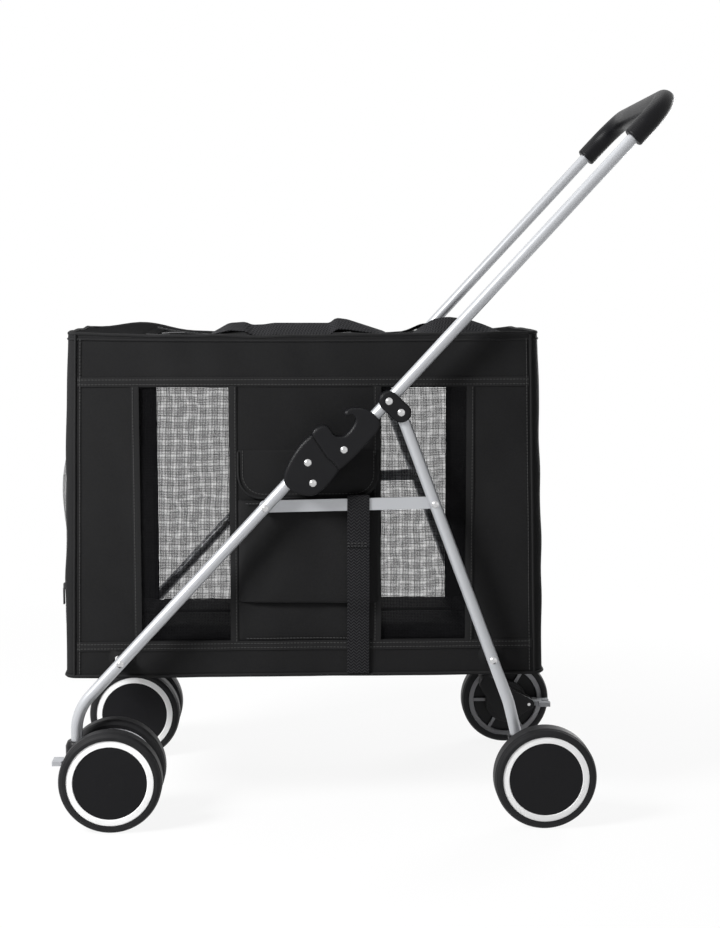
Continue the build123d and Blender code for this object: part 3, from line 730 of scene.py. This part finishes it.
# Window nets: fine black knitted mesh, pulled flat behind each opening and bound with a
# dark tape on the upright edges. From the side, daylight shows through both walls.
def net_weave(across, up):
    """Open mesh of two sets of threads, clear between them."""
    pitch, thread_w = 0.0021, 0.27

    def look(place):
        drift = 0.0024 * place.grain(26, 3)
        u = place.toward(across) + drift
        v = place.toward(up) + drift
        over = u.part(pitch) < thread_w
        under = v.part(pitch) < thread_w
        cords = over.maths("MAXIMUM", over, under)
        fuzz = place.grain(300, 3)
        return {
            "Base Color": fuzz.mix((0.005, 0.005, 0.006, 1), (0.013, 0.013, 0.014, 1)),
            "Specular IOR Level": 0.03,
            "Roughness": 0.7,
            "Alpha": cords,
            "Normal": (u.ripple(pitch) + v.ripple(pitch)).bump(0.0002),
        }

    return look


tapes = bmesh.new()
for hand, side in zip((-1, 1), SIDES):
    askew = 0.002 * hand
    wall_net = finish("black_net_" + side, net_weave((1, 0, askew), (-askew, 0, 1)))
    for (left, right), place in zip(windows, ("front", "rear")):
        net_w, net_h = right - left + 2 * net_lap, window_z[1] - window_z[0] + 2 * net_lap
        net = bmesh.new()
        bmesh.ops.create_grid(net, x_segments=10, y_segments=26, size=0.5)
        for vert in net.verts:
            x = (left + right) / 2 + vert.co.x * net_w
            z = sum(window_z) / 2 + vert.co.y * net_h
            vert.co = skin(x, z, hand, -0.0024)
        name = f"window_net_{place}_{side}"
        mesh_net = piece(name, net, wall_net, "carrier", ["window_nets"])
        crumple(mesh_net)


def band(bm, points, aside):
    """A flat strip along the places, as wide as the vector aside, centred on them."""
    edge = bm.edges.new([bm.verts.new(points[0] + aside * k) for k in (-0.5, 0.5)])
    for a, b in zip(points, points[1:]):
        grown = bmesh.ops.extrude_edge_only(bm, edges=[edge])["geom"]
        ends = [g for g in grown if isinstance(g, bmesh.types.BMVert)]
        bmesh.ops.translate(bm, verts=ends, vec=b - a)
        edges = [g for g in grown if isinstance(g, bmesh.types.BMEdge)]
        edge = next(e for e in edges if all(v in ends for v in e.verts))


upright_w, rail_w = 0.0105, 0.013
for hand in (-1, 1):
    for left, right in windows:
        for x in (left - 0.0035, right + 0.0035):
            heights = steps([window_z[0] - 0.002, window_z[1] + 0.002], mesh_step)
            band(tapes, [skin(x, z, hand, 0.0006) for z in heights], X * upright_w)
    for z in (window_z[1] + 0.0075, window_z[0] - 0.0075):
        lengths = steps([front_x + corner_r, rear_x - corner_r], mesh_step)
        band(tapes, [skin(x, z, hand, 0.0005) for x in lengths], Z * rail_w)
bmesh.ops.recalc_face_normals(tapes, faces=tapes.faces)
window_tapes = piece("window_tapes", tapes, bound_cloth, "carrier")
thicken(window_tapes, 0.0011, 0.0)
crumple(window_tapes)


# Front door: a net panel in a cloth border that zips into the front wall and opens to the
# far side. The net bulges, and the zip's pull hangs at the near lower corner.
def front_skin(y, z, lift):
    """A place on the outside of the front wall, lifted off it by that much."""
    co = Vector((front_x, y, z))
    return sunk(co - X * (swell(co, X) + lift) + X * lean(front_x, z))


def cloth_frame(outer_x, outer_y, inner_x, inner_y, round_off=False):
    """A flat cloth panel between outer limits, cut fine, with an opening between inner limits."""
    bm = bmesh.new()
    bmesh.ops.create_grid(bm, x_segments=1, y_segments=1, size=0.5)
    bmesh.ops.scale(bm, vec=(outer_x[1] - outer_x[0], outer_y[1] - outer_y[0], 1), verts=bm.verts)
    bmesh.ops.translate(bm, vec=(sum(outer_x) / 2, sum(outer_y) / 2, 0), verts=bm.verts)
    if round_off:
        bmesh.ops.bevel(
            bm, geom=bm.verts[:], offset=corner_r, affect="VERTICES", segments=5, profile=0.5, material=-1
        )
    cut(bm, X, steps([outer_x[0], *inner_x, outer_x[1]], mesh_step)[1:-1])
    cut(bm, Y, steps([outer_y[0], *inner_y, outer_y[1]], mesh_step)[1:-1])
    mids = [(face, face.calc_center_median()) for face in bm.faces]
    hole = [face for face, mid in mids if inside(mid.x, inner_x) and inside(mid.y, inner_y)]
    bmesh.ops.delete(bm, geom=hole, context="FACES")
    return bm


def zip_teeth(path, count, surface, out):
    """Zip teeth along a path of flat places, set on a cloth surface."""
    bm = bmesh.new()
    for start, end in zip(path, path[1:]):
        places = [surface(*place, 0.0012) for place in between(start, end, count)]
        stitch(bm, places, [out] * count, pitch=0.0022, length=0.0013, thick=0.0042)
    return bm


border_w, border_lap, zip_in = 0.016, 0.002, 0.004
door_net_look = finish("black_net_front", net_weave((0, 1, 0), (0, 0, 1)))
door_w, door_h = door_y + door_far - 2 * play, door_z[1] - door_z[0] - 2 * play
door_mid = (door_far - door_y) / 2
outer_limits = [(-size / 2, size / 2) for size in (door_w, door_h)]
inner_limits = [(border_w - size / 2, size / 2 - border_w) for size in (door_w, door_h)]
border = cloth_frame(*outer_limits, *inner_limits)
for vert in border.verts:
    vert.co = front_skin(door_mid - vert.co.x, sum(door_z) / 2 + vert.co.y, 0.0004)
bmesh.ops.recalc_face_normals(border, faces=border.faces)
if sum(f.normal.x for f in border.faces) > 0:
    bmesh.ops.reverse_faces(border, faces=border.faces)
front_border = piece("front_door_border", border, upright_cloth, "front_door", ["front_door"])
thicken(front_border, 0.0016)
net_w, net_h = [size - 2 * (border_w - border_lap) for size in (door_w, door_h)]
panel = bmesh.new()
bmesh.ops.create_grid(panel, x_segments=16, y_segments=24, size=0.5)
for vert in panel.verts:
    puff = 0.017 * math.cos(vert.co.x * math.pi) ** 0.4
    puff *= max(0.0, math.cos((vert.co.y - 0.14) * 4.2)) ** 1.5
    y = door_mid - vert.co.x * net_w
    vert.co = front_skin(y, sum(door_z) / 2 + vert.co.y * net_h, puff - 0.001)
front_net = piece("front_door_net", panel, door_net_look, "front_door", ["front_door"])
zip_y, zip_end = door_y - zip_in, door_far - zip_in
zip_low, zip_top = door_z[0] + zip_in, door_z[1] - zip_in
path = [(zip_end, zip_low), (-zip_y, zip_low), (-zip_y, zip_top), (zip_end, zip_top)]
teeth = zip_teeth(path, 20, front_skin, -X)


def black_zip(place):
    grain = place.grain(900, 3)
    return {
        "Base Color": grain.mix((0.012, 0.012, 0.013, 1), (0.035, 0.035, 0.037, 1)),
        "Roughness": 0.35 + 0.2 * grain,
        "Normal": grain.bump(0.00005),
    }


zip_plastic = finish("black_zip", black_zip)
front_zip = piece("front_door_zip", teeth, zip_plastic, "front_door")


def zip_pull(name, place, out, hang, body):
    """A slider body with a flat tab that hangs from it."""
    bm = bmesh.new()
    aside = out.cross(hang).normalized()
    slider = (place + out * 0.002, (0.009, 0.008, 0.004))
    tab = (place + out * 0.0035 + hang * 0.014, (0.024, 0.007, 0.0022))
    for co, (length, width, thick) in (slider, tab):
        turn = Matrix((hang * length, aside * width, out * thick)).transposed().to_4x4()
        bmesh.ops.create_cube(bm, size=1, matrix=Matrix.Translation(co) @ turn)
    bmesh.ops.bevel(bm, geom=bm.edges[:], offset=0.0009, affect="EDGES", segments=2, profile=0.5, material=-1)
    return piece(name, bm, zip_plastic, body)


pull_z = 0.318
front_pull = zip_pull("front_door_pull", front_skin(-zip_y, pull_z, 0.002), -X, -Z, "front_door")
crumple(front_border, front_net, front_zip, front_pull)


# Roof: a cloth panel sewn to the wired rim, slack between its edges, with a net door that
# zips out of it. The rim is bound with piping. It comes down with the frame when that folds.
roof_front = front_x + lean(front_x, rim) + 0.003
roof_rear = rear_x + lean(rear_x, rim) - 0.003
roof_half = half - 0.004
top_low, top_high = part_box("top_door")
hatch_x = (top_low.x - play, top_high.x + play)
hatch_y = top_high.y + play
roof_slack = 0.9


def roof_skin(x, y, lift=0.0):
    """A place on the slack roof, lifted off it by that much."""
    reach = 0.05
    inward = min(half - abs(y), x - roof_front, roof_rear - x)
    sag = 0.0035 * max(0.0, min(1.0, inward / reach)) * (1 + noise.noise(Vector((x * 9, y * 9, 2.0))))
    return Vector((x, y, rim - sag - rim_sag(x, y) + roof_slack * slack(Vector((x, y, 0.6))) + lift))


roof = cloth_frame(
    (roof_front, roof_rear), (-roof_half, roof_half), hatch_x, (-hatch_y, hatch_y), round_off=True
)
for vert in roof.verts:
    vert.co = roof_skin(vert.co.x, vert.co.y)
cabin_roof = piece("cabin_roof", roof, flat_cloth, "roof", ["roof_panel"])
thicken(cabin_roof, 0.0018)
rim_line = [p + Z * (roof_slack * slack(Vector((p.x, p.y, 0.6)))) for p in around(rim, -0.0015)]
rim_piping = piping("rim_piping", [(rim_line, True)], 0.0024)
crumple(rim_piping)
roof_net_look = finish("black_net_roof", net_weave((1, 0, 0), (0, 1, 0)))
out_x, out_y = (hatch_x[0] + play, hatch_x[1] - play), hatch_y - play
in_x, in_y = (out_x[0] + border_w, out_x[1] - border_w), out_y - border_w
border = cloth_frame(out_x, (-out_y, out_y), in_x, (-in_y, in_y))
for vert in border.verts:
    vert.co = roof_skin(vert.co.x, vert.co.y, 0.0004)
top_border = piece("top_door_border", border, flat_cloth, "top_door", ["top_door"])
thicken(top_border, 0.0016)
net_w, net_h = in_x[1] - in_x[0] + 2 * border_lap, 2 * (in_y + border_lap)
panel = bmesh.new()
bmesh.ops.create_grid(panel, x_segments=36, y_segments=16, size=0.5)
for vert in panel.verts:
    vert.co = roof_skin(sum(in_x) / 2 + vert.co.x * net_w, vert.co.y * net_h, -0.0008)
top_net = piece("top_door_net", panel, roof_net_look, "top_door", ["top_door"])
zip_x, zip_y = (hatch_x[0] + zip_in, hatch_x[1] - zip_in), hatch_y - zip_in
path = [(zip_x[0], zip_y), (zip_x[1], zip_y), (zip_x[1], -zip_y), (zip_x[0], -zip_y)]
piece("top_door_zip", zip_teeth(path, 30, roof_skin, Z), zip_plastic, "top_door")
zip_pull("top_door_pull", roof_skin(hatch_x[0] + 0.03, -zip_y, 0.002), Z, X, "top_door")


# Carry handles: two loops of ribbed nylon webbing sewn flat to the roof at both ends, and
# a folded tail of the same webbing behind each. They lie loose and buckle upwards.
def webbing(across, along):
    """Heavy tape with ribs that run zigzag along it, their light and shade painted into its colour."""

    def look(place):
        rib = 0.0076
        aside = place.toward(across).part(rib) - 0.5
        zigzag = aside.maths("ABSOLUTE", aside)
        twill = (place.toward(along) + rib * zigzag).ripple(0.0042)
        fuzz = place.grain(520, 4)
        # The twill colours the ribs lighter and the grooves near black: painted highlight and shade on the
        # weave's relief. The fuzz is random tone.
        tint = 0.7 * twill + 0.3 * fuzz
        return {
            "Base Color": tint.mix((0.002, 0.002, 0.003, 1), (0.036, 0.036, 0.038, 1)),
            "Specular IOR Level": 0.04,
            "Roughness": 0.5 + 0.2 * fuzz,
            "Normal": (twill + 0.4 * fuzz).bump(0.0005),
        }

    return look


def tilt(bm, hand, start, end, most):
    """Turns a loose loop on its side between its sewn ends, its inner edge upwards."""
    for vert in bm.verts:
        share = min(max((vert.co.x - start) / (end - start), 0.0), 1.0)
        inward = loop_y - hand * vert.co.y
        vert.co.z += most * math.sqrt(math.sin(math.pi * share)) * (inward + 0.004)


def soften(bm, radius):
    """Rounds the cross creases of a strip that was bent along a few places."""
    creases = [e for e in bm.edges if len(e.link_faces) == 2]
    bmesh.ops.bevel(bm, geom=creases, offset=radius, affect="EDGES", segments=4, profile=0.5, material=-1)


roof_webbing = finish("black_webbing_roof", webbing((0, 1, 0), (1, 0, 0.4)))
webbing_w, webbing_t = 0.025, 0.0017
loop_low, loop_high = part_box("carry_handles")
loop_y = loop_high.y - webbing_w / 2
# Millimetres along each line and above the roof's edge.
near_line = [(0, 0), (11, 0.4), (36, 9.5), (58, 9), (67, 4.4), (84, 4), (96, 5.6), (174, 5.6)]
near_line += [(183, 13), (197, 12), (250, 0.8), (265, 0)]
far_line = [(0, 0), (14, 0.2), (41, 3), (73, 4), (138, 3), (213, 4), (249, 0.4), (265, 0)]
tail_line = [(287, 0.4), (301, 3), (318, 8.5), (337, 9), (365, 6), (389, 2), (412, 0.4)]


def over_rim(along, hand, rise):
    """A place on a carry handle: millimetres along it and above the roof's edge."""
    x = loop_low.x + along / 1000
    return Vector((x, hand * loop_y, rim + 0.0009 - rim_sag(x, hand * loop_y) + rise / 1000))


def lying_loop(line, hand, crease_r, free, most):
    """Webbing along a line on the roof, which leans over where it isn't sewn down."""
    bm = bmesh.new()
    band(bm, [over_rim(along, hand, rise) for along, rise in line], Y * webbing_w)
    soften(bm, crease_r)
    tilt(bm, hand, loop_low.x + free[0], loop_low.x + free[1], most)
    bmesh.ops.recalc_face_normals(bm, faces=bm.faces)
    return bm


for hand, side, line, loop_tilt, tail_tilt in (
    (-1, "left", near_line, 0.65, 0.85),
    (1, "right", far_line, 0.25, 0.3),
):
    loop = lying_loop(line, hand, crease_r=0.0038, free=(0.013, 0.253), most=loop_tilt)
    carry = piece(f"carry_handle_{side}", loop, roof_webbing, "roof", ["carry_handles"])
    thicken(carry, webbing_t, 0.0)
    tail = lying_loop(tail_line, hand, crease_r=0.004, free=(0.293, 0.403), most=tail_tilt)
    carry_tail = piece(f"carry_tail_{side}", tail, roof_webbing, "roof")
    thicken(carry_tail, webbing_t, 0.0)


# Side pockets: a gusseted cloth pouch on each wall over a flat panel, closed by a flap with
# round corners, a bound edge and a row of stitching. The pouch sags over the panel below it.
pocket_low, pocket_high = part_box("pockets")
flap_low, flap_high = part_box("pocket_flaps")
pocket_mid, pocket_w = (pocket_low.x + pocket_high.x) / 2, pocket_high.x - pocket_low.x
panel_h = 0.0545
pouch_foot = pocket_low.z + panel_h + 0.0005
flap_mid, flap_w = (flap_low.x + flap_high.x) / 2, flap_high.x - flap_low.x
flap_corner = 0.034
# Distances off the wall and above the pouch's foot.
sag_line = [(0.0004, 0.006), (0.0030, 0.0015), (0.0060, -0.0016), (0.0080, -0.0008), (0.0086, 0.004)]
sag_line += [(0.0087, 0.022), (0.0084, 0.05), (0.0075, 0.08), (0.0066, 0.11)]
sag_line += [(0.0060, pocket_high.z - pouch_foot)]


def flap_lift(z):
    """The flap leaves the wall at its top seam and rests on the pouch at its free edge."""
    free = (flap_high.z - z) / (flap_high.z - flap_low.z)
    return 0.0008 + 0.0055 * math.sin(min(1.0, free * 1.3) * math.pi / 2)


def flap_edge(inset):
    """Places (x, z) down one side of the flap, round its free corners and up the other side."""
    reach, bend, low = flap_w / 2 - inset, flap_corner - inset, flap_low.z + inset
    down = [(-reach, z) for z in steps([low + bend, flap_high.z - 0.002], 0.01)[::-1]]
    turn = [math.pi / 2 * k / 8 for k in range(1, 9)]
    down += [(-reach + bend * (1 - math.cos(a)), low + bend * (1 - math.sin(a))) for a in turn]
    half_edge = down + [(x, low) for x in steps([-reach + bend, 0], 0.01)[1:-1]]
    other_half = [(-x, z) for x, z in half_edge[::-1]]
    return [(flap_mid + x, z) for x, z in half_edge + other_half]


for hand, side in zip((-1, 1), SIDES):
    pouch = bmesh.new()
    bmesh.ops.create_grid(pouch, x_segments=36, y_segments=len(sag_line) - 1, size=0.5)
    for vert in pouch.verts:
        depth, rise = sag_line[round((vert.co.y + 0.5) * (len(sag_line) - 1))]
        x = pocket_mid + vert.co.x * pocket_w
        z = pouch_foot + rise + 0.0022 * vert.co.x * hand * (rise < 0.01)
        crease = 0.0024 * noise.noise(Vector((x * 24, 3.0 + hand, z * 14))) * (rise > 0.01)
        full = max(0.0, 1 - abs(vert.co.x * 2) ** 9)
        vert.co = skin(x, z, hand, 0.0004 + (depth + crease) * full)
    pocket = piece(f"pocket_{side}", pouch, upright_cloth, "carrier", ["pockets"])
    patch = bmesh.new()
    bmesh.ops.create_grid(patch, x_segments=26, y_segments=10, size=0.5)
    for vert in patch.verts:
        depth = 0.0024 * (1 - abs(vert.co.x * 2) ** 8) * (1 - abs(vert.co.y * 2) ** 4)
        x = pocket_mid + vert.co.x * pocket_w
        vert.co = skin(x, pocket_low.z + (vert.co.y + 0.5) * panel_h, hand, 0.0003 + depth)
    lower = piece(f"pocket_panel_{side}", patch, upright_cloth, "carrier", ["pockets"])
    lid = bmesh.new()
    bmesh.ops.create_grid(lid, x_segments=40, y_segments=20, size=0.5)
    for vert in lid.verts:
        z = flap_low.z + (vert.co.y + 0.5) * (flap_high.z - flap_low.z)
        low = flap_corner - min(z - flap_low.z, flap_corner)
        trim = flap_corner - math.sqrt(max(0.0, flap_corner**2 - low**2))
        x = flap_mid + vert.co.x * (flap_w - 2 * trim)
        wave = 0.0016 * noise.noise(Vector((x * 19, 5.0 + hand, z * 19)))
        vert.co = skin(x, z, hand, flap_lift(z) + wave)
    flap = piece(f"pocket_flap_{side}", lid, upright_cloth, "carrier", ["pocket_flaps"])
    for cloth in (pocket, lower, flap):
        if sum(p.normal.y for p in cloth.data.polygons) * hand < 0:
            cloth.data.flip_normals()
        thicken(cloth, 0.0014)
    edge = [skin(x, z, hand, flap_lift(z)) for x, z in flap_edge(0.0006)]
    flap_binding = piping(f"flap_binding_{side}", [(edge, False)], 0.0017)
    row = bmesh.new()
    places = [skin(x, z, hand, flap_lift(z) + 0.0003) for x, z in flap_edge(0.0065)]
    stitch(row, places, [Y * hand] * len(places))
    lengths = steps([pocket_low.x + 0.012, pocket_high.x - 0.012], 0.01)
    for z, lift in ((pouch_foot + 0.137, 0.0066), (pocket_low.z + 0.003, 0.0028)):
        places = [skin(x, z, hand, lift) for x in lengths]
        stitch(row, places, [Y * hand] * len(places))
    pocket_stitching = piece(f"pocket_stitching_{side}", row, thread, "carrier")
    crumple(pocket, lower, flap, flap_binding, pocket_stitching)


# Hanging straps: webbing sewn to the skirt, run up over the pocket and round the side link,
# then doubled back and boxed with two rows of stitches. One carries each side of the cabin.
strap_low, strap_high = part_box("link_straps")
strap_mid, strap_w = (strap_low.x + strap_high.x) / 2, strap_high.x - strap_low.x
link_low, link_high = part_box("side_link_right")
ring_z = (link_low.z + link_high.z) / 2
outer, inner = link_high.y + 0.0014, link_low.y - 0.0018
wall_webbing = finish("black_webbing_wall", webbing((1, 0, 0), (0, 0.6, 1)))
# Heights and distances off the wall.
lying = [(strap_low.z, 0.0034), (0.262, 0.0044), (0.284, 0.0052)]
lying += [(0.310, 0.0122), (0.350, 0.0122), (0.388, 0.0110)]
for hand, side in zip((-1, 1), SIDES):
    line = [(abs(skin(strap_mid, z, hand).y) + off, z) for z, off in lying]
    end = line[-1][0]
    line += [
        (inner, ring_z - 0.013), (inner, ring_z + 0.009), (inner + 0.0016, ring_z + 0.0122),
        (outer - 0.0016, ring_z + 0.0122), (outer, ring_z + 0.009), (outer, ring_z - 0.013),
        (end + 0.0019, 0.397), (end + 0.0017, 0.381),
    ]
    loop = bmesh.new()
    band(loop, [Vector((strap_mid, hand * y, z)) for y, z in line], X * strap_w)
    soften(loop, 0.0012)
    bmesh.ops.recalc_face_normals(loop, faces=loop.faces)
    strap = piece(f"hanging_strap_{side}", loop, wall_webbing, "carrier", ["link_straps"])
    thicken(strap, 0.0014, 0.0)
    boxed = bmesh.new()
    for z in (0.3825, 0.3865):
        places = [Vector((strap_low.x + 0.002 + k * 0.0053, hand * (end + 0.0026), z)) for k in range(6)]
        stitch(boxed, places, [Y * hand] * 5, thick=0.0011)
    box_stitch = piece(f"strap_stitching_{side}", boxed, thread, "carrier")
    crumple(strap, box_stitch)
